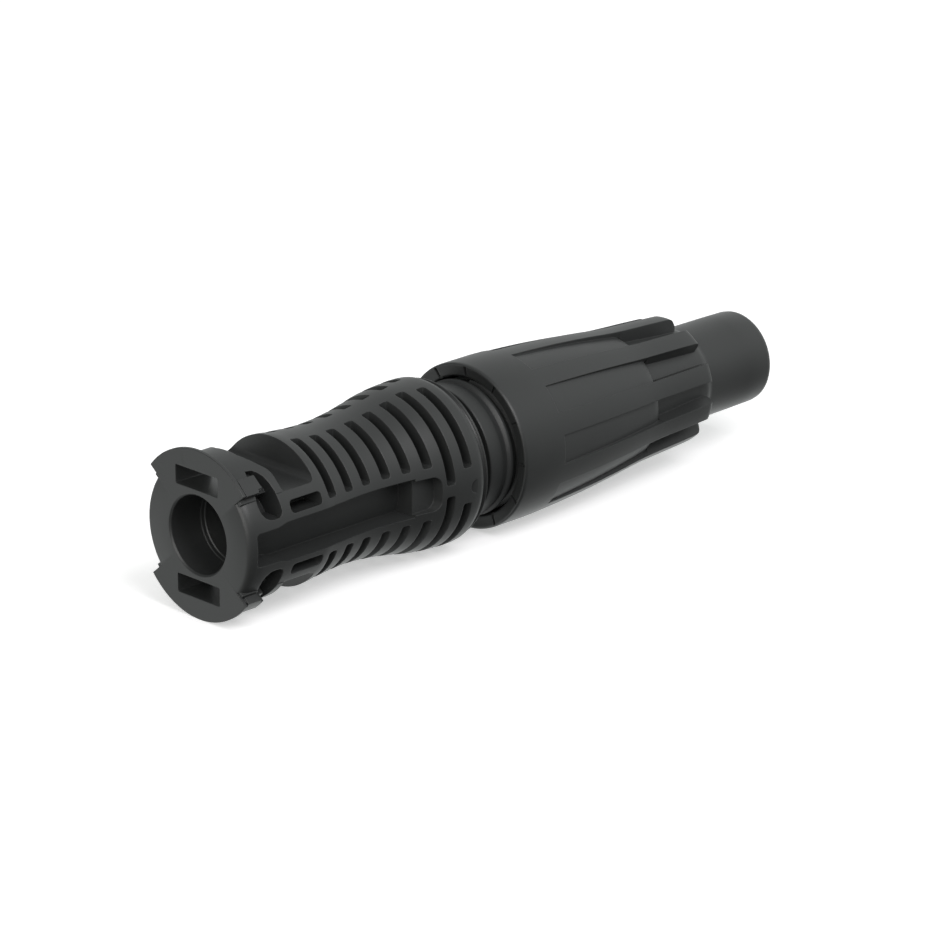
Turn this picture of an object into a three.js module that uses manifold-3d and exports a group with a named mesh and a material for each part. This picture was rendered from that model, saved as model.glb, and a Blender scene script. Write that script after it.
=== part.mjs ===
// Single-pole solar cable connector, pin-contact half, empty of cable.
// Millimetres. X runs from the mating face (low X) to the cable end (high X), Z is up.
// Every station along the axis is a distance behind the mating face; each mesh is moved
// forward by half the length, so the origin is the middle of the whole connector.

import * as THREE from "three";
import { mergeVertices } from "three/addons/utils/BufferGeometryUtils.js";
import Module from "manifold-3d";

const wasm = await Module();
wasm.setup();

// ---- driving dimensions ------------------------------------------------------------

const LENGTH = 87;
const GAP = 0.3; // clearance kept between neighbouring pieces

// insulating housing
const LOBE_R = 9.8; // top and bottom lobes of the mating face
const SIDE_R = 7.8; // mating face between the lobes
const BODY_R = 8.6; // shell just behind the mating face
const LOBE_HALF_ANGLE = 50; // degrees either side of straight up and straight down
const LOBE_PLATE = 0.4; // thin rim plate of the lobe
const EAR_R = 9.6;
const EAR_FROM = 0.65;
const EAR_TO = 3.1;
const EAR_INNER_ANGLE = 37;
const BRIDGE_R = 8.7; // bridge over the latch slot
const BRIDGE_TO = 4.5;
const BRIDGE_SIDE_TO = 6.0;
const BRIDGE_SIDE_ANGLE = 29;
const LATCH_FLOOR = 5.2; // height of the flat that the latch arms lie on
const LATCH_SLOT_HALF = 3.4;
const LATCH_SLOT_TOP = 7.4;
const SADDLE_TO = 11.0;
const CORE_R = 5.7; // inner tube, seen between the ribs
const SHELL_END = 35.2;
const NECK_R = 7.85;
const NECK_GROOVE_R = 7.1; // groove between the shell's end and the neck's collar
const NECK_GROOVE_TO = 37.1;
const NECK_COLLAR_TO = 40.4;
const THREAD_ROOT_R = 7.4;
const THREAD_FROM = 41.2;
const THREAD_R = 7.85;
const NECK_END = 52;

// rib slots: the first one's station, their pitch, their width
const SLOT_FIRST = 12.85;
const SLOT_PITCH = 2.72;
const SLOT_WIDTH = 1.25;
const SLOT_COUNT = 8;
const SPINE_HALF = 1.45; // half width of the solid spine along the top and bottom
const SLOT_END_HEIGHT = 3.07; // the slots end in flats at this height above the middle plane
const LONG_SLOT_END_HEIGHT = 0.67;
const LAST_SLOT_END_HEIGHT = 2.09;

// side recess with its raised pad
const RECESS_HALF = 2.2;
const PAD_HALF = 2.0;
const RECESS_FROM = 1.1;
const RECESS_TO = 28.1;
const PAD_FROM = 24.8;
const PAD_DEPTH = 0.6;

// windows beside the latch slots
const HOOK_FROM = 2.4;
const HOOK_TO = 5.2;
const HOOK_ANGLES = [47, 70];
const HOOK_NECK_FROM = 3.3;
const HOOK_NECK_TO = 4.7;
const HOOK_NECK_ANGLE = 30;
const HOOK_NECK_FLOOR_R = 7.6;
const WINDOW_FROM = 6.5;
const WINDOW_TO = 11.1;
const WINDOW_ANGLES = [60.8, 70];
const WINDOW_END_HEIGHT = 2.7; // flat lower ends of the windows

// inside of the housing
const BORE_R = 4.5;
const BORE_STEP_AT = 4.6;
const BORE_INNER_R = 4.3;
const BORE_END = 26;
const SEAT_END = 32;
const BARB_GROOVE_R = 3.5;
const CRIMP_CHAMBER_R = 4.2;
const SEAL_BORE_FROM = 39.5;
const SEAL_BORE_R = 6.0;

// pin contact of the 4 mm system
const PIN_R = 2.0;
const PIN_TIP = 8.0;
const COLLAR_R = 2.5;
const BARREL_R = 2.3;
const BARREL_BORE_R = 1.65;
const BARREL_END = 41;

// cable seal and clamping cage
const SEAL_FROM = 39.8;
const SEAL_TO = 47.0;
const SEAL_HOLE_R = 3.2;
const TIGHTEN_TRAVEL = 3.0; // how far the nut and the cage still go forward
const CAGE_FROM = SEAL_TO + TIGHTEN_TRAVEL + 0.4;
const CAGE_RING_TO = CAGE_FROM + 4.6;
const CAGE_TO = 71.5;
const CAGE_HOLE_R = 4.2;
const FINGERS = 8;
const FINGER_GAP = 1.0;

// cap nut
const NUT_FROM = 40.8;
const NUT_BORE_R = 8.15;
const NUT_MOUTH_R = 9.5; // the front ring slopes a little towards the bore
const NUT_MOUTH_DEPTH = 0.25;
const NUT_BORE_TO = 55.8;
const NUT_R = 9.8;
const CABLE_HOLE_R = 4.4;
const FINS = 10;
const FIN_FIRST_ANGLE = -2; // degrees from straight up
const FIN_HALF_ANGLE = 7.75;
const PANEL_FROM = 47.3;
const PANEL_TO = 65.4;
const FIN_END = 75.4;
const PANEL_DEPTH = 0.4;
const NOSE_R = 5.7;
const NOSE_END_R = 5.55;

// facets round the axis
const ROUND = 48;
const ROUND_INNER = 32;
const ROUND_SMALL = 20;
const NUT_ROUND = 60;

// ---- geometry helpers --------------------------------------------------------------

function toSolid(geometry) {
  const plain = geometry.clone();
  plain.deleteAttribute("normal");
  plain.deleteAttribute("uv");
  const merged = mergeVertices(plain, 1e-5);
  return new wasm.Manifold(new wasm.Mesh({
    numProp: 3,
    vertProperties: new Float32Array(merged.attributes.position.array),
    triVerts: new Uint32Array(merged.index.array),
  }));
}

function toGeometry(solid) {
  const mesh = solid.getMesh();
  const geometry = new THREE.BufferGeometry();
  geometry.setAttribute("position", new THREE.BufferAttribute(mesh.vertProperties, 3));
  geometry.setIndex(new THREE.BufferAttribute(mesh.triVerts, 1));
  geometry.computeVertexNormals();
  return geometry;
}

// A round solid about the X axis, from its half section as [station, radius] corners.
// The section is walked with the axis on its left, so that the faces point out.
function turned(section, facets = ROUND) {
  const points = section.map(([station, radius]) => new THREE.Vector2(radius, station));
  if (section[0][1] !== 0) points.push(points[0].clone());
  const geometry = new THREE.LatheGeometry(points, facets);
  geometry.rotateZ(-Math.PI / 2);
  return toSolid(geometry);
}

// A full round bar whose outline is the given stations and radii, closed on the axis.
function bar(outline, facets = ROUND) {
  const first = outline[0];
  const last = outline[outline.length - 1];
  return turned([[first[0], 0], ...outline, [last[0], 0]], facets);
}

const radians = (degrees) => degrees * Math.PI / 180;

// A plate in the Y-Z plane, pushed along X from one station to another.
function plate(shape, from, to, curveSegments = 8) {
  const geometry = new THREE.ExtrudeGeometry(shape, { depth: to - from, bevelEnabled: false, curveSegments });
  geometry.applyMatrix4(new THREE.Matrix4().set(0, 0, 1, from, 1, 0, 0, 0, 0, 1, 0, 0, 0, 0, 0, 1));
  return toSolid(geometry);
}

// Part of a ring; the angles are degrees from straight up, growing towards the -Y side.
function ringSector(from, to, innerR, outerR, angleFrom, angleTo, curveSegments = 8) {
  const start = radians(angleFrom + 90);
  const end = radians(angleTo + 90);
  const shape = new THREE.Shape();
  shape.absarc(0, 0, outerR, start, end, false);
  shape.absarc(0, 0, innerR, end, start, true);
  return plate(shape, from, to, curveSegments);
}

function block(from, to, yFrom, yTo, zFrom, zTo) {
  const geometry = new THREE.BoxGeometry(to - from, yTo - yFrom, zTo - zFrom);
  geometry.translate((from + to) / 2, (yFrom + yTo) / 2, (zFrom + zTo) / 2);
  return toSolid(geometry);
}

const joined = (solids) => solids.reduce((sum, solid) => sum.add(solid));

// The same cut in all four quadrants of the housing, which is alike left, right, up and down.
function inFourQuadrants(solid) {
  const leftAndRight = solid.add(solid.mirror([0, 1, 0]));
  return leftAndRight.add(leftAndRight.mirror([0, 0, 1]));
}

const aboveAndBelow = (solid) => solid.add(solid.mirror([0, 0, 1]));
const bothSides = (solid) => solid.add(solid.mirror([0, 1, 0]));

// ---- insulating housing --------------------------------------------------------------

function housingShell() {
  return bar([
    [0, SIDE_R],
    [0.4, SIDE_R + 0.4],
    [1.6, BODY_R],
    [11, BODY_R],
    [13, 8.45],
    [16, 8.2],
    [20.8, 8.2],
    [24.6, 8.7],
    [28.7, 9.5],
    [31, 9.7],
    [33.2, 9.8],
    [34.4, 9.68],
    [SHELL_END, 9.35],
    [SHELL_END, NECK_GROOVE_R],
    [NECK_GROOVE_TO, NECK_GROOVE_R],
    [NECK_GROOVE_TO, NECK_R],
    [NECK_COLLAR_TO, NECK_R],
    [NECK_COLLAR_TO + 0.2, THREAD_ROOT_R],
    [THREAD_FROM, THREAD_ROOT_R],
    [THREAD_FROM + 0.5, THREAD_R],
    [NECK_END - 0.6, THREAD_R],
    [NECK_END, THREAD_R - 0.6],
  ]);
}

function lobes() {
  const half = LOBE_HALF_ANGLE;
  const rim = ringSector(0, LOBE_PLATE, SIDE_R - 1, LOBE_R, -half, half, 14);
  const bridge = ringSector(0.1, BRIDGE_TO, CORE_R, BRIDGE_R, -half, half, 14);
  const ear = ringSector(EAR_FROM, EAR_TO, SIDE_R - 1, EAR_R, EAR_INNER_ANGLE, half, 3);
  const web = ringSector(0.2, EAR_TO - 0.2, SIDE_R - 1, EAR_R - 0.5, EAR_INNER_ANGLE + 1, half - 1, 3);
  const side = ringSector(1, BRIDGE_SIDE_TO, CORE_R, BRIDGE_R, BRIDGE_SIDE_ANGLE, half + 4, 5);
  return aboveAndBelow(joined([rim, bridge, bothSides(joined([ear, web, side]))]));
}

function latchOpenings() {
  const wide = LOBE_R + 1;
  const saddle = joined([
    block(BRIDGE_SIDE_TO, SADDLE_TO, -wide, wide, LATCH_FLOOR, wide),
    block(BRIDGE_TO, BRIDGE_SIDE_TO + 0.1, -4.2, 4.2, LATCH_FLOOR, wide),
  ]);
  const slot = block(-1, BRIDGE_TO + 0.1, -LATCH_SLOT_HALF, LATCH_SLOT_HALF, LATCH_FLOOR, LATCH_SLOT_TOP);
  return aboveAndBelow(saddle.add(slot));
}

// What is left of a cut above a height.
const above = (solid, height) => solid.subtract(block(-1, LENGTH, -2 * LOBE_R, 2 * LOBE_R, -LOBE_R, height));

function ribSlots() {
  const slots = [];
  for (let i = 0; i < SLOT_COUNT; i += 1) {
    const middle = SLOT_FIRST + i * SLOT_PITCH;
    const spineAngle = Math.asin(SPINE_HALF / BODY_R) * 180 / Math.PI;
    let endHeight = SLOT_END_HEIGHT;
    if (i === SLOT_COUNT - 2) endHeight = LONG_SLOT_END_HEIGHT;
    if (i === SLOT_COUNT - 1) endHeight = LAST_SLOT_END_HEIGHT;
    const from = middle - SLOT_WIDTH / 2;
    const sector = ringSector(from, from + SLOT_WIDTH, CORE_R, LOBE_R + 1, spineAngle, 90, 9);
    slots.push(above(sector, endHeight));
  }
  return inFourQuadrants(joined(slots));
}

function sideOpenings() {
  const core = bar([[0, CORE_R], [RECESS_TO + 1, CORE_R]], ROUND_INNER);
  const recess = block(RECESS_FROM, PAD_FROM, -LOBE_R, -CORE_R / 2, -RECESS_HALF, RECESS_HALF).subtract(core);
  const padFloor = -(BODY_R - PAD_DEPTH);
  const overPad = block(PAD_FROM - 0.1, RECESS_TO, -LOBE_R - 1, padFloor, -PAD_HALF, PAD_HALF);
  const hook = ringSector(HOOK_FROM, HOOK_TO, CORE_R, LOBE_R + 1, HOOK_ANGLES[0], HOOK_ANGLES[1], 4);
  const neck = ringSector(HOOK_NECK_FROM, HOOK_NECK_TO, HOOK_NECK_FLOOR_R, LOBE_R + 1, HOOK_NECK_ANGLE, HOOK_ANGLES[0] + 1, 3);
  const window = ringSector(WINDOW_FROM, WINDOW_TO, CORE_R, LOBE_R, WINDOW_ANGLES[0], WINDOW_ANGLES[1], 2);
  const windows = above(joined([hook, window]), WINDOW_END_HEIGHT);
  return bothSides(recess.add(overPad)).add(inFourQuadrants(joined([windows, neck])));
}

function housingInside() {
  return bar([
    [-1, BORE_R],
    [BORE_STEP_AT, BORE_R],
    [BORE_STEP_AT + 0.3, BORE_INNER_R],
    [BORE_END, BORE_INNER_R],
    [BORE_END, PIN_R + GAP],
    [BORE_END + 0.9, PIN_R + GAP],
    [BORE_END + 0.9, COLLAR_R + GAP],
    [BORE_END + 2.2, COLLAR_R + GAP],
    [BORE_END + 2.2, BARB_GROOVE_R],
    [SEAT_END - 0.6, BARB_GROOVE_R],
    [SEAT_END - 0.6, COLLAR_R + GAP],
    [SEAT_END, COLLAR_R + GAP],
    [SEAT_END + 0.8, CRIMP_CHAMBER_R],
    [SEAL_BORE_FROM, CRIMP_CHAMBER_R],
    [SEAL_BORE_FROM, SEAL_BORE_R],
    [NECK_END + 1, SEAL_BORE_R],
  ], ROUND_INNER);
}

function housing() {
  return housingShell()
    .add(lobes())
    .subtract(latchOpenings())
    .subtract(ribSlots())
    .subtract(sideOpenings())
    .subtract(housingInside());
}

// ---- contact and its retaining spring -------------------------------------------------

const GROOVE_R = 1.75;
const GROOVE_FROM = BORE_END + 2.0;
const GROOVE_TO = SEAT_END - 0.3;

function pinContact() {
  const body = bar([
    [PIN_TIP, 0.8],
    [PIN_TIP + 0.9, 1.65],
    [PIN_TIP + 2, PIN_R],
    [BORE_END + 1.2, PIN_R],
    [BORE_END + 1.2, COLLAR_R],
    [GROOVE_FROM, COLLAR_R],
    [GROOVE_FROM, GROOVE_R],
    [GROOVE_TO, GROOVE_R],
    [GROOVE_TO, COLLAR_R],
    [GROOVE_TO + 1.2, COLLAR_R],
    [GROOVE_TO + 1.5, BARREL_R],
    [BARREL_END, BARREL_R],
  ], ROUND_SMALL);
  const wireHole = bar([[GROOVE_TO + 2.3, BARREL_BORE_R], [BARREL_END + 1, BARREL_BORE_R]], ROUND_SMALL);
  return body.subtract(wireHole);
}

// A split spring sleeve round the contact, whose rear end flares into four barbs.
function retainingSpring() {
  const from = GROOVE_FROM + GAP;
  const to = GROOVE_TO - GAP;
  const sleeve = turned([
    [from, GROOVE_R + GAP],
    [to, GROOVE_R + GAP + 0.7],
    [to, GROOVE_R + GAP + 1.05],
    [from + 1.2, GROOVE_R + GAP + 0.4],
    [from, GROOVE_R + GAP + 0.4],
  ].reverse(), ROUND_SMALL);
  const split = block(from - 1, to + 1, -0.3, 0.3, 0, 5);
  const notches = [90, 180, 270].map((angle) => block(from + 1.2, to + 1, -0.3, 0.3, 0, 5).rotate([angle, 0, 0]));
  return sleeve.subtract(joined([split, ...notches]));
}

// ---- cable seal -----------------------------------------------------------------------

function cableSeal() {
  const outer = SEAL_BORE_R - GAP;
  return turned([
    [SEAL_FROM, SEAL_HOLE_R + 0.3],
    [SEAL_FROM, outer - 0.3],
    [SEAL_FROM + 0.4, outer],
    [SEAL_TO - 0.4, outer],
    [SEAL_TO, outer - 0.3],
    [SEAL_TO, SEAL_HOLE_R + 0.3],
    [SEAL_TO - 0.5, SEAL_HOLE_R],
    [SEAL_FROM + 0.5, SEAL_HOLE_R],
  ], ROUND_INNER);
}

// ---- clamping cage ----------------------------------------------------------------------

function clampingCage() {
  const outer = SEAL_BORE_R - GAP;
  const sleeve = turned([
    [CAGE_FROM, CAGE_HOLE_R],
    [CAGE_FROM, outer - 0.2],
    [CAGE_FROM + 0.3, outer],
    [60, outer],
    [64, 5.5],
    [CAGE_TO, 4.75],
    [CAGE_TO, CAGE_HOLE_R],
  ], ROUND_INNER);
  const gaps = [];
  for (let i = 0; i < FINGERS / 2; i += 1) {
    const slit = block(CAGE_RING_TO, CAGE_TO + 1, -FINGER_GAP / 2, FINGER_GAP / 2, -9, 9);
    gaps.push(slit.rotate([(i + 0.5) * 360 / FINGERS, 0, 0]));
  }
  return sleeve.subtract(joined(gaps));
}

// ---- cap nut ------------------------------------------------------------------------------

const NUT_OUTLINE = [
  [NUT_FROM, NUT_R - 0.15],
  [NUT_FROM + 0.3, NUT_R],
  [46.5, NUT_R],
  [50, 9.62],
  [54, 9.4],
  [58, 9.05],
  [62.4, 8.6],
  [PANEL_TO, 8.28],
  [71, 8.0],
  [FIN_END - 0.4, 7.7],
  [FIN_END, 7.3],
];

const CORE_OUTLINE = [
  [PANEL_TO - 6, 6.95],
  [PANEL_TO, 6.95],
  [75.3, 6.05],
  [76.2, NOSE_R],
  [83, NOSE_R],
  [LENGTH, NOSE_END_R],
];

function betweenFins(from, to) {
  const step = 360 / FINS;
  const sectors = [];
  for (let i = 0; i < FINS; i += 1) {
    const fin = FIN_FIRST_ANGLE + i * step;
    const start = fin + FIN_HALF_ANGLE;
    sectors.push(ringSector(from, to, 4, LOBE_R + 1, start, fin + step - FIN_HALF_ANGLE, 4));
  }
  return joined(sectors);
}

function capNut() {
  const outside = bar(NUT_OUTLINE, NUT_ROUND);
  const panelFloor = bar(NUT_OUTLINE.map(([station, radius]) => [station, radius - PANEL_DEPTH]), NUT_ROUND);
  const panels = betweenFins(PANEL_FROM, PANEL_TO).subtract(panelFloor);
  const core = bar(CORE_OUTLINE, NUT_ROUND);
  const body = outside.subtract(betweenFins(PANEL_TO, LENGTH)).add(core).subtract(panels);
  const inside = bar([
    [NUT_FROM - 1, NUT_MOUTH_R],
    [NUT_FROM, NUT_MOUTH_R],
    [NUT_FROM + NUT_MOUTH_DEPTH, NUT_BORE_R],
    [NUT_BORE_TO, NUT_BORE_R],
    [NUT_BORE_TO + 0.8, 6.5],
    [60.5, 6.1],
    [74, 4.8],
    [75, CABLE_HOLE_R],
    [LENGTH + 1, CABLE_HOLE_R],
  ], ROUND_INNER);
  return body.subtract(inside);
}

// ---- assembly -----------------------------------------------------------------------------

const charcoal = { color: 0x2b2d2e, roughness: 0.5, metalness: 0 };

function piece(name, solid, finish) {
  const mesh = new THREE.Mesh(toGeometry(solid), new THREE.MeshStandardMaterial(finish));
  mesh.name = name;
  mesh.position.x = -LENGTH / 2;
  return mesh;
}

const connector = new THREE.Group();
connector.add(piece("housing", housing(), charcoal));
connector.add(piece("pin_contact", pinContact(), { color: 0xb9bbb8, roughness: 0.3, metalness: 1 }));
connector.add(piece("retaining_spring", retainingSpring(), { color: 0xa3a5a6, roughness: 0.35, metalness: 1 }));
connector.add(piece("cable_seal", cableSeal(), { color: 0x1a1a1a, roughness: 0.8, metalness: 0 }));
connector.add(piece("clamping_cage", clampingCage(), { color: 0x232425, roughness: 0.55, metalness: 0 }));
connector.add(piece("cap_nut", capNut(), charcoal));

export default connector;
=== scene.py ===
import math

import bpy
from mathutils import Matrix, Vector


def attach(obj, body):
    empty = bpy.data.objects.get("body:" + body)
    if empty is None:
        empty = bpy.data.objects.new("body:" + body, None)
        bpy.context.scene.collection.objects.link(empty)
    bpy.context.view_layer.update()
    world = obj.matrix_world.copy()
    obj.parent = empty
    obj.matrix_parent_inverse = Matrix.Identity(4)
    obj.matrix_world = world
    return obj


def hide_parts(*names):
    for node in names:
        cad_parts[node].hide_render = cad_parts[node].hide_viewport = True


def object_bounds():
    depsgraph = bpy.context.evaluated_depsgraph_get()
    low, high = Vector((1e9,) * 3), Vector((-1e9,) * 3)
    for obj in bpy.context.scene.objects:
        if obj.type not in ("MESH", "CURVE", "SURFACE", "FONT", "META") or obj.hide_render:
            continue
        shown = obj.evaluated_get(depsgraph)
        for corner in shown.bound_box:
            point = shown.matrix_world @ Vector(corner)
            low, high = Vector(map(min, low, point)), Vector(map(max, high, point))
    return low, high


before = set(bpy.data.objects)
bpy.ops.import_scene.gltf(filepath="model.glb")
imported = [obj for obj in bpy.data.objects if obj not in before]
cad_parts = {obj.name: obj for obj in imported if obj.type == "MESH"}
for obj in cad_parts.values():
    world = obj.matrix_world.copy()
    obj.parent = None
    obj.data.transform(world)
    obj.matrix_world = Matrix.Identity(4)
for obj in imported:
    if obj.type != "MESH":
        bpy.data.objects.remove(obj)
cad_low, cad_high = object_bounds()

# ---- Camera ------------------------------------------------------------------------------
# A long lens looks at the connector from the front left, with the mating face towards it
# and the cable end running away to the right.

MM = 0.001
FACE = cad_low.x  # station 0, the plane of the mating face
AZIMUTH = math.radians(44.965)
ELEVATION = math.radians(19.884)
CAMERA_DISTANCE = 549.05 * MM
LENS = 181.9
AIM_RIGHT = -0.722  # of the origin, across and up the view
AIM_UP = -3.915

towards_camera = Vector((
    -math.sin(AZIMUTH) * math.cos(ELEVATION),
    -math.cos(AZIMUTH) * math.cos(ELEVATION),
    math.sin(ELEVATION),
))
camera_right = Vector((0, 0, 1)).cross(towards_camera).normalized()
camera_up = towards_camera.cross(camera_right)
aim = camera_right * AIM_RIGHT * MM + camera_up * AIM_UP * MM

bpy.ops.object.camera_add(location=aim + towards_camera * CAMERA_DISTANCE)
camera = bpy.context.object
camera.name = "camera"
camera.rotation_mode = "QUATERNION"
camera.rotation_quaternion = towards_camera.to_track_quat("Z", "Y")
camera.data.lens = LENS
camera.data.sensor_width = 36
camera.data.clip_start = 10 * MM
camera.data.clip_end = 20
bpy.context.scene.camera = camera
bpy.context.scene.view_settings.view_transform = "Standard"

# ---- Floor and light ------------------------------------------------------------------------
# A plain white table top with sheets of white paper standing round it. One soft lamp hangs
# over the connector's left side and a second one stands in front of the mating face.

TABLE_GAP = 0.02  # between the connector and the table
LAMP_DISTANCE = 0.9  # metres
PAPER_SOFTNESS = 4  # a higher power makes each sheet's patch of light smaller


class Wired:
    """A value in a node tree. Arithmetic on it adds Math nodes."""

    def __init__(self, nodes, socket):
        self.nodes = nodes
        self.socket = socket

    def _math(self, operation, first, second):
        return self.nodes.node("ShaderNodeMath", {"operation": operation}, {0: first, 1: second})

    def __add__(self, other):
        return self._math("ADD", self, other)

    def __radd__(self, other):
        return self._math("ADD", other, self)

    def __mul__(self, other):
        return self._math("MULTIPLY", self, other)

    def __rmul__(self, other):
        return self._math("MULTIPLY", other, self)

    def __pow__(self, exponent):
        return self._math("POWER", self, exponent)

    def above_zero(self):
        return self._math("MAXIMUM", self, 0.0)


class Nodes:
    """The nodes of a material or of the world."""

    def __init__(self, tree):
        self.tree = tree

    def node(self, kind, settings=None, inputs=None, output=0):
        made = self.tree.nodes.new(kind)
        for key, value in (settings or {}).items():
            setattr(made, key, value)
        for key, value in (inputs or {}).items():
            self.plug(made.inputs[key], value)
        return Wired(self, made.outputs[output])

    def plug(self, socket, value):
        if isinstance(value, Wired):
            self.tree.links.new(value.socket, socket)
        else:
            socket.default_value = value


class Finish(Nodes):
    """A procedural material with one Principled surface."""

    def __init__(self, name, **constants):
        self.material = bpy.data.materials.new(name)
        self.material.use_nodes = True
        super().__init__(self.material.node_tree)
        self.surface = self.tree.nodes["Principled BSDF"]
        for socket, value in constants.items():
            self.surface.inputs[socket.replace("_", " ")].default_value = value

    def feed(self, **sockets):
        for socket, value in sockets.items():
            self.plug(self.surface.inputs[socket.replace("_", " ")], value)

    def place(self):
        return self.node("ShaderNodeTexCoord", output="Object")

    def noise(self, size_mm, detail=2.0, stretch=(1, 1, 1)):
        """Noise from 0 to 1 whose blotches are about size_mm across."""
        where = self.node("ShaderNodeMapping", {}, {"Vector": self.place(), "Scale": stretch})
        settings = {"noise_dimensions": "3D"}
        inputs = {"Vector": where, "Scale": 1 / (size_mm * MM), "Detail": detail}
        return self.node("ShaderNodeTexNoise", settings, inputs, output="Fac")

    def blend(self, factor, first, second):
        settings = {"data_type": "RGBA"}
        return self.node("ShaderNodeMix", settings, {0: factor, 6: (*first, 1), 7: (*second, 1)}, output=2)

    def relief(self, height, depth_mm, soft_edge_mm=0.0):
        """A bump of that depth, over edges rounded by the light alone."""
        inputs = {"Height": height, "Strength": 1.0, "Distance": depth_mm * MM}
        if soft_edge_mm:
            inputs["Normal"] = self.node("ShaderNodeBevel", {"samples": 6}, {"Radius": soft_edge_mm * MM})
        return self.node("ShaderNodeBump", {}, inputs)


def deselect():
    if bpy.context.object and bpy.context.object.mode != "OBJECT":
        bpy.ops.object.mode_set(mode="OBJECT")
    bpy.ops.object.select_all(action="DESELECT")


table_white = Finish("table_white", Roughness=0.9, Emission_Color=(1, 1, 1, 1), Emission_Strength=0.45)
table_white.feed(Base_Color=table_white.blend(table_white.noise(40), (0.9, 0.9, 0.9), (0.93, 0.93, 0.93)))
deselect()
bpy.ops.mesh.primitive_plane_add(size=6, location=(0, 0, cad_low.z - TABLE_GAP * MM))
floor = bpy.context.object
floor.name = "floor"
floor.data.materials.append(table_white.material)
floor.visible_glossy = False
floor.visible_diffuse = False
floor.visible_shadow = False

# white paper round the table, each sheet a soft patch of sky: direction, strength
PAPER = [
    ((1, 0, 0), 0.7),
    ((-1, 1, -1), 1.15),
    ((1, 1, -1), 1.15),
    ((1, 1, 1), 0.54),
    ((1, -1, 1), 0.65),
    ((-1, -1, 1), 0.75),
]
world = bpy.data.worlds.new("studio")
bpy.context.scene.world = world
world.use_nodes = True
studio = Nodes(world.node_tree)
background = world.node_tree.nodes["Background"]
background.inputs["Color"].default_value = (0.97, 1.0, 0.99, 1)
outwards = studio.node("ShaderNodeTexCoord", output="Generated")
glow = 0.0
for direction, strength in PAPER:
    inputs = {0: outwards, 1: Vector(direction).normalized()}
    facing = studio.node("ShaderNodeVectorMath", {"operation": "DOT_PRODUCT"}, inputs, output="Value")
    glow = glow + strength * facing.above_zero() ** PAPER_SOFTNESS
studio.plug(background.inputs["Strength"], glow)


def soft_light(name, direction, size, power, colour):
    deselect()
    bpy.ops.object.light_add(type="AREA", location=Vector(direction).normalized() * LAMP_DISTANCE)
    light = bpy.context.object
    light.name = name
    light.data.shape = "DISK"
    light.data.size = size
    light.data.energy = power
    light.data.color = colour
    light.rotation_mode = "QUATERNION"
    light.rotation_quaternion = Vector(direction).to_track_quat("Z", "Y")


soft_light("over_left", (-0.1, -0.75, 0.9), 0.5, 3.4, (1.0, 0.98, 1.0))
soft_light("in_front", (-1.0, -0.35, 0.45), 0.8, 3.9, (1.0, 0.98, 0.96))

# ---- Housing ---------------------------------------------------------------------------------
# One moulding in glass-filled polyamide: a tube for the contact, a ribbed grip shell round it
# and, at the back, the threaded neck for the cap nut. The two lobes of the front flange
# bridge the slots that the mate's latch arms pass through.

ROUND = 144  # facets round the axis
OUTSIDE = 12  # a radius or height past the outside of everything
SHELL_OUTLINE = [
    (0, 7.8), (0.12, 8.05), (0.4, 8.3), (1.0, 8.5), (2.4, 8.6), (6, 8.66), (11, 8.66),
    (11.7, 8.62), (12.3, 8.53), (13, 8.45), (14.5, 8.34), (16, 8.21), (17.2, 8.16), (18.4, 8.15),
    (19.6, 8.18), (21, 8.28), (22.7, 8.45), (24.6, 8.72), (26.5, 9.07), (28, 9.36), (29.3, 9.56),
    (31, 9.69), (32.6, 9.77), (33.6, 9.77), (34.05, 9.72), (34.25, 9.6), (34.35, 9.2), (34.7, 9.12),
    (34.9, 9.2), (35, 9.36), (35.15, 9.38), (35.25, 9.28), (35.25, 7.1), (37.05, 7.1), (37.1, 7.88),
    (37.2, 7.95), (38.9, 7.95), (39.2, 7.9), (39.6, 7.68), (40.0, 7.64), (40.15, 7.9), (40.3, 8.0),
    (40.55, 8.0), (40.7, 7.9), (40.75, 7.35), (51.6, 7.35), (52, 6.95),
]
BORE_OUTLINE = [
    (-1, 4.7), (0, 4.7), (0.2, 4.5), (4.4, 4.5), (4.5, 4.42), (4.9, 4.42), (5.0, 4.3), (26, 4.3), (26, 2.3),
    (26.9, 2.3), (26.9, 2.8), (28.2, 2.8), (28.2, 3.5), (31.4, 3.5), (31.4, 2.8), (32, 2.8),
    (32.8, 4.2), (39.5, 4.2), (39.5, 6.0), (53, 6.0),
]
CORE_R = 5.7
LOBE_ROOT_R = 7  # where the lobes and ears start, inside the shell
FLANGE_R = 9.8
FLANGE_HALF = 50  # degrees either side of straight up
FLANGE_RIM = 0.4
BRIDGE_R = 8.7
BRIDGE_HALF = FLANGE_HALF + 3
EAR_R = 9.6
EAR_START = 37
EAR_ROOT_R = 9.3


def chain(corners):
    """Corners joined in a line, in the X-Z plane, from (station, height) in mm."""
    deselect()
    bpy.context.tool_settings.mesh_select_mode = (True, False, False)
    bpy.ops.mesh.primitive_plane_add(size=MM)
    bpy.ops.object.mode_set(mode="EDIT")
    bpy.ops.mesh.merge(type="CENTER")
    bpy.ops.transform.translate(value=(FACE + corners[0][0] * MM, 0, corners[0][1] * MM))
    for (s0, r0), (s1, r1) in zip(corners, corners[1:]):
        step = ((s1 - s0) * MM, 0, (r1 - r0) * MM)
        bpy.ops.mesh.extrude_region_move(TRANSFORM_OT_translate={"value": step})
    bpy.ops.mesh.select_all(action="SELECT")
    return bpy.context.object


def close_up():
    """Merges doubles, points the faces outwards and leaves edit mode."""
    bpy.ops.mesh.select_all(action="SELECT")
    bpy.ops.mesh.remove_doubles(threshold=0.0005 * MM)
    bpy.ops.mesh.normals_make_consistent(inside=False)
    bpy.ops.object.mode_set(mode="OBJECT")
    return bpy.context.object


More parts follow.
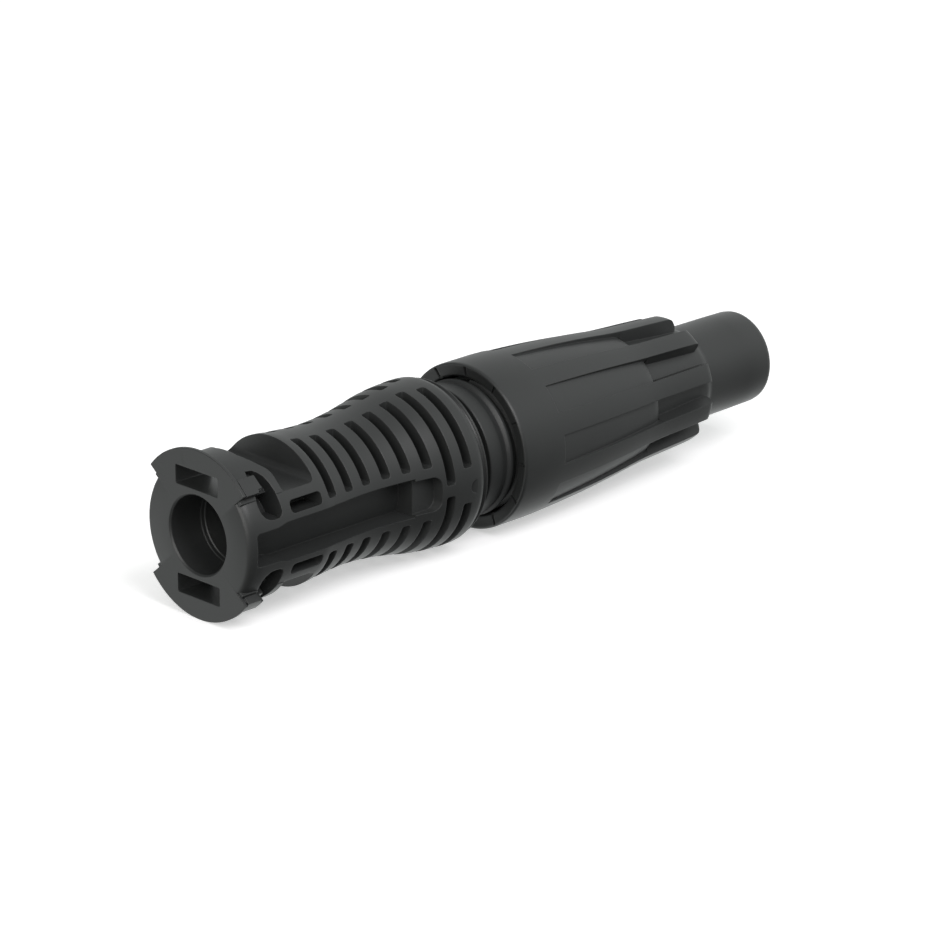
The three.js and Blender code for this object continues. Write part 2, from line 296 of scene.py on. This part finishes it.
def turned(outline, closed=False, facets=ROUND):
    """A body of revolution about X. An outline that isn't closed runs from and to the axis."""
    corners = [*outline, outline[0]] if closed else [(outline[0][0], 0), *outline, (outline[-1][0], 0)]
    chain(corners)
    bpy.ops.mesh.spin(steps=facets, angle=2 * math.pi, center=(0, 0, 0), axis=(1, 0, 0))
    return close_up()


def arc_block(outline, start, end, per_degree=0.4):
    """A closed outline swept about X from one angle to another, in degrees from straight up towards +Y."""
    chain(outline)
    bpy.ops.mesh.edge_face_add()
    turn = math.radians(start)
    bpy.ops.transform.rotate(value=turn, orient_axis="X", center_override=(0, 0, 0))
    steps = max(1, round((end - start) * per_degree))
    bpy.ops.mesh.spin(steps=steps, angle=math.radians(end - start), center=(0, 0, 0), axis=(1, 0, 0))
    return close_up()


def ring_block(from_s, to_s, inner, outer, start, end, per_degree=0.4):
    outline = [(from_s, inner), (to_s, inner), (to_s, outer), (from_s, outer)]
    return arc_block(outline, start, end, per_degree)


def block(from_s, to_s, from_y, to_y, from_z, to_z):
    deselect()
    middle = (FACE + (from_s + to_s) / 2 * MM, (from_y + to_y) / 2 * MM, (from_z + to_z) / 2 * MM)
    size = ((to_s - from_s) * MM, (to_y - from_y) * MM, (to_z - from_z) * MM)
    bpy.ops.mesh.primitive_cube_add(size=1, location=middle, scale=size)
    bpy.ops.object.transform_apply(location=True, rotation=True, scale=True)
    return bpy.context.object


def prism(plan, from_z, to_z):
    """A closed outline of (station, y), pushed straight up from one height to another."""
    chain(plan)
    bpy.ops.mesh.edge_face_add()
    bpy.ops.transform.rotate(value=math.radians(90), orient_axis="X", center_override=(0, 0, 0))
    bpy.ops.mesh.extrude_region_move(TRANSFORM_OT_translate={"value": (0, 0, (to_z - from_z) * MM)})
    bpy.ops.mesh.select_all(action="SELECT")
    bpy.ops.transform.translate(value=(0, 0, from_z * MM))
    return close_up()


def pick(piece):
    """Selects one piece alone and makes it the active one."""
    deselect()
    piece.select_set(True)
    bpy.context.view_layer.objects.active = piece


def joined(pieces):
    """Pieces that don't touch, as one object."""
    pick(pieces[0])
    for piece in pieces:
        piece.select_set(True)
    bpy.ops.object.join()
    return bpy.context.object


def round_edges(piece, along, radius, segments=4, near=None):
    """Rounds the straight edges that run along a direction, all of them or those that near() keeps."""
    pick(piece)
    bpy.ops.object.mode_set(mode="EDIT")
    bpy.ops.mesh.select_all(action="DESELECT")
    bpy.ops.object.mode_set(mode="OBJECT")
    bpy.context.tool_settings.mesh_select_mode = (False, True, False)
    points = piece.data.vertices
    for edge in piece.data.edges:
        a, b = (points[i].co for i in edge.vertices)
        line = (b - a).normalized()
        kept = near is None or near((a + b) / 2)
        edge.select = abs(line.dot(Vector(along).normalized())) > 0.98 and kept
    bpy.ops.object.mode_set(mode="EDIT")
    bpy.ops.mesh.bevel(offset=radius * MM, segments=segments)
    bpy.ops.object.mode_set(mode="OBJECT")
    return piece


def turn_about_axis(piece, degrees):
    """Turns a piece about X from straight up towards +Y, in its mesh."""
    for point in piece.data.vertices:
        y, z = point.co.y, point.co.z
        c, s = math.cos(math.radians(degrees)), math.sin(math.radians(degrees))
        point.co.y, point.co.z = y * c + z * s, z * c - y * s
    return piece


def duplicate(piece):
    """A copy of a piece with its own mesh."""
    pick(piece)
    bpy.ops.object.duplicate()
    return bpy.context.object


def mirrored(piece, flips):
    """Copies of a piece, each with its own mesh, mirrored by the signs of y and z in flips."""
    copies = []
    for flip_y, flip_z in flips:
        copy = duplicate(piece)
        copy.scale = (1, flip_y, flip_z)
        bpy.ops.object.transform_apply(location=True, rotation=True, scale=True)
        bpy.ops.object.mode_set(mode="EDIT")
        bpy.ops.mesh.select_all(action="SELECT")
        bpy.ops.mesh.normals_make_consistent(inside=False)
        bpy.ops.object.mode_set(mode="OBJECT")
        copies.append(copy)
    return [piece, *copies]


FOUR_WAYS = [(-1, 1), (1, -1), (-1, -1)]
UP_AND_DOWN = [(1, -1)]
LEFT_AND_RIGHT = [(-1, 1)]


def combine(body, others, operation):
    """Adds pieces to a body, or cuts them out of it, and removes them."""
    group = bpy.data.collections.new("tools")
    bpy.context.scene.collection.children.link(group)
    for other in others:
        for holder in list(other.users_collection):
            holder.objects.unlink(other)
        group.objects.link(other)
    modifier = body.modifiers.new("combine", "BOOLEAN")
    modifier.operation = operation
    modifier.solver = "MANIFOLD"
    modifier.operand_type = "COLLECTION"
    modifier.collection = group
    pick(body)
    bpy.ops.object.modifier_apply(modifier=modifier.name)
    for other in others:
        bpy.data.objects.remove(other)
    bpy.data.collections.remove(group)
    return body


def finished(piece, name, body, finish, smooth=28):
    """Names a piece, shades it, and sets its material and body."""
    pick(piece)
    bpy.ops.object.shade_smooth_by_angle(angle=math.radians(smooth))
    piece.name = name
    piece.data.name = name
    piece.data.materials.clear()
    piece.data.materials.append(finish.material)
    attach(piece, body)
    return piece


shell = turned(SHELL_OUTLINE)

# the flange's lobes, with their ears, and the bridges over the latch slots
rim = ring_block(0, FLANGE_RIM, LOBE_ROOT_R, FLANGE_R, -FLANGE_HALF, FLANGE_HALF)
bridge = ring_block(0.2, 6.2, CORE_R, BRIDGE_R, -BRIDGE_HALF, BRIDGE_HALF)
ear = ring_block(0.65, 3.05, LOBE_ROOT_R, EAR_R, EAR_START, FLANGE_HALF)
ear_root = ring_block(0.3, 2.8, LOBE_ROOT_R, EAR_ROOT_R, EAR_START + 1, FLANGE_HALF - 0.8)
added = [
    *mirrored(rim, UP_AND_DOWN),
    *mirrored(bridge, UP_AND_DOWN),
    *mirrored(ear, FOUR_WAYS),
    *mirrored(ear_root, FOUR_WAYS),
]

# the neck's thread, a helix that starts behind the collar
THREAD_PITCH = 1.5
THREAD_TURNS = 6
THREAD_PROFILE = [(41.3, 7.1), (42.4, 7.1), (42.05, 7.84), (41.65, 7.84)]
chain([*THREAD_PROFILE, THREAD_PROFILE[0]])
thread = close_up()
winding = thread.modifiers.new("winding", "SCREW")
winding.axis = "X"
winding.screw_offset = THREAD_PITCH * MM
winding.iterations = THREAD_TURNS
winding.steps = winding.render_steps = 72
bpy.ops.object.modifier_apply(modifier=winding.name)
bpy.ops.object.mode_set(mode="EDIT")
bpy.ops.mesh.select_all(action="SELECT")
bpy.ops.mesh.fill_holes(sides=0)
thread = close_up()
added.append(thread)
housing = combine(shell, added, "UNION")

# latch slots and saddles
SADDLE_FLOOR = 5.2
SADDLE_END = 11
SADDLE_FILLET = 0.8
SADDLE_PLAN = [
    (SADDLE_END, 0), (4.35, 0), (4.4, 1.7), (4.8, 2.7), (5.45, 3.9), (6.0, 4.7), (6.17, 5.2),
    (6.17, OUTSIDE), (SADDLE_END, OUTSIDE),
]
LATCH_SLOT_HALF = 3.39
LATCH_SLOT_TOP = 7.4
slot = block(-1, 6, -LATCH_SLOT_HALF, LATCH_SLOT_HALF, SADDLE_FLOOR, LATCH_SLOT_TOP)
slot = round_edges(slot, (1, 0, 0), 0.15, 3)
half_saddle = prism(SADDLE_PLAN, SADDLE_FLOOR, OUTSIDE)
half_saddle = round_edges(half_saddle, (0, 1, 0), SADDLE_FILLET, 5, lambda p: p.z < (SADDLE_FLOOR + 0.1) * MM)
cuts = [*mirrored(slot, UP_AND_DOWN), *mirrored(half_saddle, FOUR_WAYS)]

core = turned([(0.5, CORE_R), (36, CORE_R)], facets=72)

# rib slots: eight in each quadrant, from the spine above or below to a flat end at a height
RIB_SLOT_WIDTH = 1.25
RIB_SLOT_ROUND = 0.3
RIB_SLOTS = [  # middle, side of the spine, height of the end
    (12.8, 1.6, 3.12), (15.5, 1.7, 3.05), (18.2, 1.5, 3.06), (21.05, 1.41, 3.08),
    (23.85, 1.32, 3.09), (26.6, 1.25, 3.08), (29.3, 1.07, 0.67), (31.9, 1.73, 2.09),
]
slots = []
for middle, spine_side, end_height in RIB_SLOTS:
    half = RIB_SLOT_WIDTH / 2
    one = block(middle - half, middle + half, spine_side, OUTSIDE, end_height, OUTSIDE)
    round_edges(one, (0, 1, 0), RIB_SLOT_ROUND, 3, lambda p: p.z < CORE_R * MM)
    slots.append(round_edges(one, (0, 0, 1), RIB_SLOT_ROUND, 3, lambda p: p.y < CORE_R * MM))

# small windows and hook windows, each with a flat lower end
WEB_HEIGHT = 2.65
BELOW_CORE = 4  # the cutters start at this radius, and the core is taken out of them
WINDOW_ANGLE = 65.4
HOOK_ANGLE = 50
HOOK_PLAN = [
    (2.6, -0.42), (5.16, -0.42), (5.28, 0.8), (5.3, 1.5), (5.25, 2.4), (5.0, 2.78), (4.6, 2.97),
    (3.84, 2.99), (3.2, 2.85), (2.7, 2.5), (2.36, 1.9), (2.28, 1.2), (2.42, 0.09),
]
THROAT_PLAN = [
    (2.9, -2.35), (3.2, -3.1), (4.1, -2.95), (4.55, -2.5), (4.9, -1.9), (5.1, -0.9), (5.16, -0.3),
    (3.6, -0.3), (3.68, -1.45), (3.15, -1.9),
]
THROAT_FLOOR = 7.3
window = round_edges(block(6.5, 11.1, -0.75, 0.75, BELOW_CORE, OUTSIDE), (0, 0, 1), 0.5)
hook = prism(HOOK_PLAN, BELOW_CORE, OUTSIDE)
trimmed = [turn_about_axis(window, WINDOW_ANGLE), turn_about_axis(hook, HOOK_ANGLE)]
for one in trimmed:
    combine(one, [block(0, 14, 0, 14, WEB_HEIGHT, 14)], "INTERSECT")
deep_cuts = combine(joined([*slots, *trimmed]), [duplicate(core)], "DIFFERENCE")
cuts += mirrored(deep_cuts, FOUR_WAYS)
throat = prism(THROAT_PLAN, THROAT_FLOOR, OUTSIDE)
cuts += mirrored(turn_about_axis(throat, HOOK_ANGLE), FOUR_WAYS)

# side recess with its shallow pad
RECESS_SIDE = [(1.1, 1.9), (4.3, 1.95), (5.6, 2.25), (24.75, 2.25)]
recess_plan = [(station, -half) for station, half in RECESS_SIDE] + RECESS_SIDE[::-1]
PAD_FLOOR = 7.9
PAD_HALF = 2.0
recess = prism(recess_plan, BELOW_CORE, OUTSIDE)
recess = round_edges(recess, (0, 0, 1), 0.5, 4, lambda p: p.x < FACE + 2 * MM)
recess = combine(turn_about_axis(recess, 90), [core], "DIFFERENCE")
pad = block(24.6, 28.1, PAD_FLOOR, OUTSIDE, -PAD_HALF, PAD_HALF)
pad = round_edges(pad, (0, 1, 0), 1.1, 6, lambda p: p.x > FACE + 26 * MM)
cuts += mirrored(recess, LEFT_AND_RIGHT) + mirrored(pad, LEFT_AND_RIGHT)

# a moulding mark on each side, a disc that sinks in towards the rear
MARK_R = 0.85
MARK_TILT = -28  # degrees
MARK_PLACE = (32.9, 10.2, -0.3)  # station, y, z
deselect()
upright = (math.radians(-90), 0, 0)
bpy.ops.mesh.primitive_cylinder_add(vertices=40, radius=MARK_R * MM, depth=1 * MM, rotation=upright)
bpy.ops.transform.rotate(value=math.radians(MARK_TILT), orient_axis="Z", center_override=(0, 0, 0))
bpy.ops.object.transform_apply(location=True, rotation=True, scale=True)
mark = bpy.context.object
for point in mark.data.vertices:
    point.co += Vector(MARK_PLACE) * MM + Vector((FACE, 0, 0))
cuts += mirrored(mark, LEFT_AND_RIGHT)

cuts.append(turned(BORE_OUTLINE, facets=96))
housing = combine(housing, cuts, "DIFFERENCE")

charcoal = Finish("charcoal_polyamide", IOR=1.5)
shade = charcoal.noise(3.0, 3)
grain = charcoal.noise(0.07, 3)
charcoal.feed(
    Base_Color=charcoal.blend(shade, (0.026, 0.0275, 0.0275), (0.031, 0.0325, 0.032)),
    Roughness=0.35 + 0.07 * grain + 0.05 * shade,
    Normal=charcoal.relief(grain, 0.004, 0.13),
)
finished(housing, "housing_moulding", "housing_body", charcoal)
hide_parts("housing")

# ---- Pin contact -----------------------------------------------------------------------------
# A turned copper alloy pin, 4 mm across and tin plated. Its front stands in the mating bore;
# its hollow rear end is crimped on the conductor, which the small sight hole shows.

PIN_OUTLINE = [
    (8, 0.5), (8.08, 0.9), (8.35, 1.25), (9.6, 1.86), (10.1, 1.97), (10.6, 2.0), (27.1, 2.0), (27.2, 2.1),
    (27.2, 2.42), (27.3, 2.5), (28.0, 2.5), (28.0, 1.75), (31.7, 1.75), (31.7, 2.5), (32.8, 2.5),
    (33.0, 2.4), (33.15, 2.3), (40.8, 2.3), (41, 2.2),
]
pin = turned(PIN_OUTLINE, facets=64)
wire_hole = turned([(34.2, 0.3), (35, 1.62), (40.7, 1.62), (41, 1.8), (42, 1.8)], facets=48)
SIGHT_HOLE_R = 0.6
SIGHT_HOLE_AT = 36.2
over_barrel = (FACE + SIGHT_HOLE_AT * MM, 0, 2.6 * MM)
deselect()
bpy.ops.mesh.primitive_cylinder_add(vertices=32, radius=SIGHT_HOLE_R * MM, depth=4 * MM, location=over_barrel)
sight_hole = bpy.context.object
bpy.ops.object.transform_apply(location=True, rotation=True, scale=True)
pin = combine(pin, [wire_hole, sight_hole], "DIFFERENCE")

tin = Finish("tin_plate", Metallic=1.0, IOR=1.6)
dulling = tin.noise(1.6, 3)
turning = tin.noise(0.12, 2, stretch=(1, 0.05, 0.05))
tin.feed(
    Base_Color=tin.blend(dulling, (0.66, 0.65, 0.62), (0.76, 0.755, 0.74)),
    Roughness=0.2 + 0.16 * dulling + 0.06 * turning,
    Normal=tin.relief(turning, 0.003, 0.05),
)
finished(pin, "contact_pin", "housing_body", tin)
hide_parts("pin_contact")

# ---- Retaining spring --------------------------------------------------------------------------
# A split sleeve of spring steel, rolled round the contact's groove. Its flared rear end opens
# in the housing's chamber and keeps the contact from being pulled out.

SPRING_OUTLINE = [(28.3, 2.05), (31.4, 2.75), (31.4, 3.1), (29.5, 2.45), (28.3, 2.45)]
spring = turned(SPRING_OUTLINE, closed=True, facets=64)
SPLIT_HALF = 0.25
TONGUE_GAP_HALF = 0.3
splits = [block(27, 33, -SPLIT_HALF, SPLIT_HALF, 0.5, 5)]
for quarter in (90, 180, 270):
    gap = block(29.5, 33, -TONGUE_GAP_HALF, TONGUE_GAP_HALF, 0.5, 5)
    splits.append(turn_about_axis(gap, quarter))
spring = combine(spring, splits, "DIFFERENCE")

spring_steel = Finish("spring_steel", Metallic=1.0, IOR=1.6)
rolling = spring_steel.noise(0.2, 3, stretch=(0.1, 1, 1))
spring_steel.feed(
    Base_Color=spring_steel.blend(rolling, (0.5, 0.5, 0.51), (0.6, 0.6, 0.61)),
    Roughness=0.26 + 0.12 * rolling,
    Normal=spring_steel.relief(rolling, 0.003, 0.04),
)
finished(spring, "contact_spring", "housing_body", spring_steel)
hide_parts("retaining_spring")

# ---- Cable seal --------------------------------------------------------------------------------
# A soft black ring in the neck. Ribs inside grip the cable's jacket and ribs outside press on
# the housing when the cage is pushed against it.

SEAL_OUTSIDE = [
    (39.8, 5.3), (40.1, 5.62), (40.6, 5.7), (41.1, 5.62), (41.6, 5.3), (42.2, 5.3), (42.7, 5.62), (43.3, 5.7),
    (43.9, 5.62), (44.4, 5.3), (45.0, 5.3), (45.5, 5.62), (46.1, 5.7), (46.6, 5.62), (47, 5.3),
]
SEAL_INSIDE = [
    (47, 3.9), (46.5, 3.45), (45.9, 3.25), (45.2, 3.45), (44.7, 3.6), (44.2, 3.45), (43.4, 3.25),
    (42.6, 3.45), (42.1, 3.6), (41.6, 3.45), (40.9, 3.25), (40.3, 3.45), (39.8, 3.9),
]
seal = turned([*SEAL_OUTSIDE, *SEAL_INSIDE], closed=True, facets=96)

seal_rubber = Finish("seal_rubber", IOR=1.52)
bloom = seal_rubber.noise(2.0, 4)
pores = seal_rubber.noise(0.12, 3)
seal_rubber.feed(
    Base_Color=seal_rubber.blend(bloom, (0.012, 0.012, 0.012), (0.02, 0.02, 0.019)),
    Roughness=0.62 + 0.14 * bloom + 0.06 * pores,
    Normal=seal_rubber.relief(pores, 0.005, 0.1),
)
finished(seal, "seal_ring", "housing_body", seal_rubber, smooth=50)
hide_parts("cable_seal")

# ---- Clamping cage -----------------------------------------------------------------------------
# A moulded sleeve behind the seal, slit into fingers. The nut's inner cone closes the fingers
# on the cable as it is tightened; small teeth inside them bite into the jacket.

CAGE_OUTSIDE = [
    (50.4, 5.5), (50.6, 5.7), (54.2, 5.7), (54.4, 5.62), (55.2, 5.62), (55.4, 5.7), (60, 5.7), (64, 5.5),
    (71.1, 4.78), (71.5, 4.6),
]
TEETH = 5
TOOTH_PITCH = 1.6
FINGERS = 8
FINGER_GAP_HALF = 0.5
cage_inside = [(71.5, 4.3)]
for tooth in range(TEETH):
    back = tooth * TOOTH_PITCH
    cage_inside += [(71 - back, 4.2), (70.8 - back, 4.35), (69.6 - back, 4.35)]
cage_inside += [(62.8, 4.2), (50.7, 4.2), (50.4, 4.45)]
cage = turned([*CAGE_OUTSIDE, *cage_inside], closed=True, facets=96)
slits = []
for finger in range(FINGERS):
    slit = round_edges(block(55, 73, -FINGER_GAP_HALF, FINGER_GAP_HALF, 3, 8), (0, 0, 1), 0.4, 4)
    slits.append(turn_about_axis(slit, (finger + 0.5) * 360 / FINGERS))
cage = combine(cage, slits, "DIFFERENCE")

cage_black = Finish("cage_black", IOR=1.5)
flow = cage_black.noise(2.4, 3)
cage_grain = cage_black.noise(0.09, 2)
cage_black.feed(
    Base_Color=cage_black.blend(flow, (0.015, 0.0155, 0.016), (0.021, 0.0215, 0.022)),
    Roughness=0.4 + 0.1 * flow + 0.05 * cage_grain,
    Normal=cage_black.relief(cage_grain, 0.003, 0.08),
)
finished(cage, "clamp_cage", "cage_body", cage_black)
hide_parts("clamping_cage")

# ---- Cap nut -----------------------------------------------------------------------------------
# The screw cap, in the same charcoal plastic: a slim barrel with flat panels sunk between ten
# fins, which run on over the waist as free grips, and a smooth nose for the cable.

BARREL_OUTLINE = [
    (40.8, 9.58), (40.86, 9.7), (41.02, 9.78), (41.25, 9.8), (45.6, 9.8), (47, 9.76), (49, 9.67), (51, 9.57),
    (53, 9.45), (55, 9.31), (57, 9.14), (59, 8.95), (61, 8.74), (63, 8.5), (64.5, 8.35), (65.4, 8.28),
]
FIN_OUTLINE = [
    (62, 8.6), (63, 8.5), (64.5, 8.35), (66, 8.23), (68, 8.12), (70, 8.02), (72, 7.91), (73.8, 7.8),
    (74.2, 7.74), (74.45, 7.6), (74.65, 7.38), (75.5, 6.15), (75.6, 5.5),
]
WAIST_OUTLINE = [
    (60, 7.1), (63.5, 6.95), (66, 6.78), (69, 6.52), (72, 6.26), (74, 6.12), (75.1, 6.06), (75.5, 6.0),
    (75.85, 5.86), (76.1, 5.76), (76.5, 5.71), (83, 5.66), (86.4, 5.6), (86.8, 5.53), (87, 5.38),
]
FINS = 10
FIN_PITCH = 36  # degrees from one fin to the next
FIN_TURN = 2  # degrees between the first fin and straight up
FIN_HALF = 7.75  # degrees, half a fin in the barrel
FIN_HALF_WIDTH = 1.1  # mm, half a free fin
FIN_ROUND = 1.09
NOTCHES = 12
NOTCH_HALF = 0.2

barrel = turned(BARREL_OUTLINE, facets=180)
waist = turned(WAIST_OUTLINE, facets=120)
fins = []
for k in range(FINS):
    fin = block(62, 75.6, -FIN_HALF_WIDTH, FIN_HALF_WIDTH, 5, 10)
    fin = round_edges(fin, (0, 0, 1), FIN_ROUND, 8, lambda p: p.x > FACE + 70 * MM)
    fins.append(turn_about_axis(fin, FIN_TURN + FIN_PITCH * k))
fin_ring = combine(joined(fins), [turned(FIN_OUTLINE, facets=180)], "INTERSECT")
nut = combine(barrel, [waist, fin_ring], "UNION")

PANEL_FLOOR = [
    (47.3, 9.56), (49, 9.44), (51, 9.3), (53, 9.14), (55, 8.96), (57, 8.75), (59, 8.52), (61, 8.26),
    (63, 7.98), (64.2, 7.8), (64.8, 7.67), (65.2, 7.48), (65.4, 7.2), (65.5, 6.98),
]
PANEL_TOP = 11  # past the barrel's surface
panel = [*PANEL_FLOOR, (PANEL_FLOOR[-1][0], PANEL_TOP), (PANEL_FLOOR[0][0], PANEL_TOP)]
hollows = []
for k in range(FINS):
    first = FIN_TURN + FIN_HALF + FIN_PITCH * k
    hollows.append(arc_block(panel, first, first + FIN_PITCH - 2 * FIN_HALF))
for k in range(NOTCHES):
    notch = block(40.4, 41.3, -NOTCH_HALF, NOTCH_HALF, 8.0, 9.56)
    hollows.append(turn_about_axis(notch, 360 / NOTCHES * k))
NUT_BORE = [
    (40, 9.52), (40.8, 9.52), (40.86, 9.4), (41.04, 8.6), (41.1, 8.35), (41.25, 8.2), (42.4, 8.15),
    (55.8, 8.15), (56.6, 6.5), (60.5, 6.1), (74, 4.8), (75, 4.4),
    (86.6, 4.4), (87, 4.6), (88, 4.6),
]
hollows.append(turned(NUT_BORE, facets=96))
nut = combine(nut, hollows, "DIFFERENCE")
finished(nut, "cap_nut_moulding", "nut_body", charcoal)
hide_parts("cap_nut")
